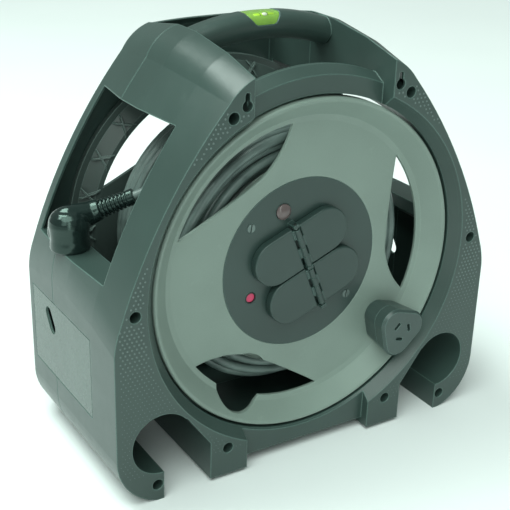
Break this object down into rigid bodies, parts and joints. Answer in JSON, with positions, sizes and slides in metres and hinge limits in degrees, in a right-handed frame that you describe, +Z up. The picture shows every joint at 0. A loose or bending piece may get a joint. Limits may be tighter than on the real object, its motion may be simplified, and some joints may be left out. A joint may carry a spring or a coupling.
{
  "type": "extension cord reel",
  "caption": "Free-standing cassette cord reel: two shells with a top handle and tube hooks, a turning drum with flap-covered sockets, a winding knob and a parked plug.",
  "frame": {"origin": "floor level under the middle of the reel, halfway between the knob's face and the rear shell's back", "axes": "+Z up, +Y from front to back along the drum's axis, +X to the right seen from the front"},
  "size_m": [0.434, 0.228, 0.4308],
  "materials": {
    "black_plastic": "moulded black",
    "brass": "bright",
    "bush": "acetal",
    "cord_rubber": "black cord sheath",
    "drum_plastic": "moulded, mid grey-green",
    "knob_plastic": "fine grained, dark",
    "label": "smooth",
    "lamp_glass": "clear",
    "lens": "smoky red",
    "panel": "fine grained, dark grey-green",
    "plug_rubber": "glossy soft black",
    "red_plastic": "red",
    "shell": "moulded, dark grey-green",
    "steel": "zinc plated",
    "vial": "tinted acrylic"
  },
  "bodies": {
    "frame": {"front_shell": "shell", "rear_shell": "shell", "shell_screws": "steel", "label_plate_right": "label", "label_plate_left": "label", "spirit_level": "vial", "plug_park": "black_plastic", "spindle": "steel", "retaining_clip": "steel", "plug_body": "plug_rubber", "plug_boot": "plug_rubber", "plug_pins": "brass", "cord_lead": "cord_rubber"},
    "drum": {"busbar_earth": "brass", "busbar_live": "brass", "busbar_neutral": "brass", "cord_winding": "cord_rubber", "drum_core": "drum_plastic", "flange_screws": "steel", "front_flange": "drum_plastic", "hinge_pin": "steel", "hub_bush_front": "bush", "hub_bush_rear": "bush", "knob_base": "knob_plastic", "knob_bolt": "steel", "knob_nut": "steel", "panel_screws": "steel", "pilot_lamp": "lamp_glass", "pilot_lens": "lens", "rear_flange": "drum_plastic", "socket_contacts": "brass", "socket_insert_1": "black_plastic", "socket_insert_2": "black_plastic", "socket_insert_3": "black_plastic", "socket_insert_4": "black_plastic", "socket_panel": "panel", "terminal_block": "black_plastic", "terminal_screws": "steel", "thermal_cutout": "black_plastic"},
    "knob": {"knob_grip": "knob_plastic"},
    "button": {"reset_button": "red_plastic"},
    "lid_1": {"socket_lid_1": "panel"},
    "lid_2": {"socket_lid_2": "panel"},
    "lid_3": {"socket_lid_3": "panel"},
    "lid_4": {"socket_lid_4": "panel"}
  },
  "joints": [
    {"name": "drum_spin", "type": "hinge", "parent": "frame", "child": "drum", "pos_m": [0, 0, 0.201], "axis": [0, 1, 0], "continuous": true},
    {"name": "knob_spin", "type": "hinge", "parent": "drum", "child": "knob", "pos_m": [0.1064, -0.09, 0.1146], "axis": [0, 1, 0], "continuous": true},
    {"name": "reset_press", "type": "slide", "parent": "drum", "child": "button", "axis": [0, 1, 0], "range_m": [0, 0.0025], "stiffness_N_per_m": 400, "springref_m": -0.002},
    {"name": "lid_1_flip", "type": "hinge", "parent": "drum", "child": "lid_1", "pos_m": [0.0045, -0.0864, 0.199], "axis": [-0.3746, 0, 0.9272], "range_deg": [0, 85], "stiffness_Nm_per_rad": 0.02, "springref_deg": -28.65},
    {"name": "lid_2_flip", "type": "hinge", "parent": "drum", "child": "lid_2", "pos_m": [0.0045, -0.0864, 0.199], "axis": [0.3746, 0, -0.9272], "range_deg": [0, 85], "stiffness_Nm_per_rad": 0.02, "springref_deg": -28.65},
    {"name": "lid_3_flip", "type": "hinge", "parent": "drum", "child": "lid_3", "pos_m": [0.0045, -0.0864, 0.199], "axis": [-0.3746, 0, 0.9272], "range_deg": [0, 85], "stiffness_Nm_per_rad": 0.02, "springref_deg": -28.65},
    {"name": "lid_4_flip", "type": "hinge", "parent": "drum", "child": "lid_4", "pos_m": [0.0045, -0.0864, 0.199], "axis": [0.3746, 0, -0.9272], "range_deg": [0, 85], "stiffness_Nm_per_rad": 0.02, "springref_deg": -28.65}
  ]
}
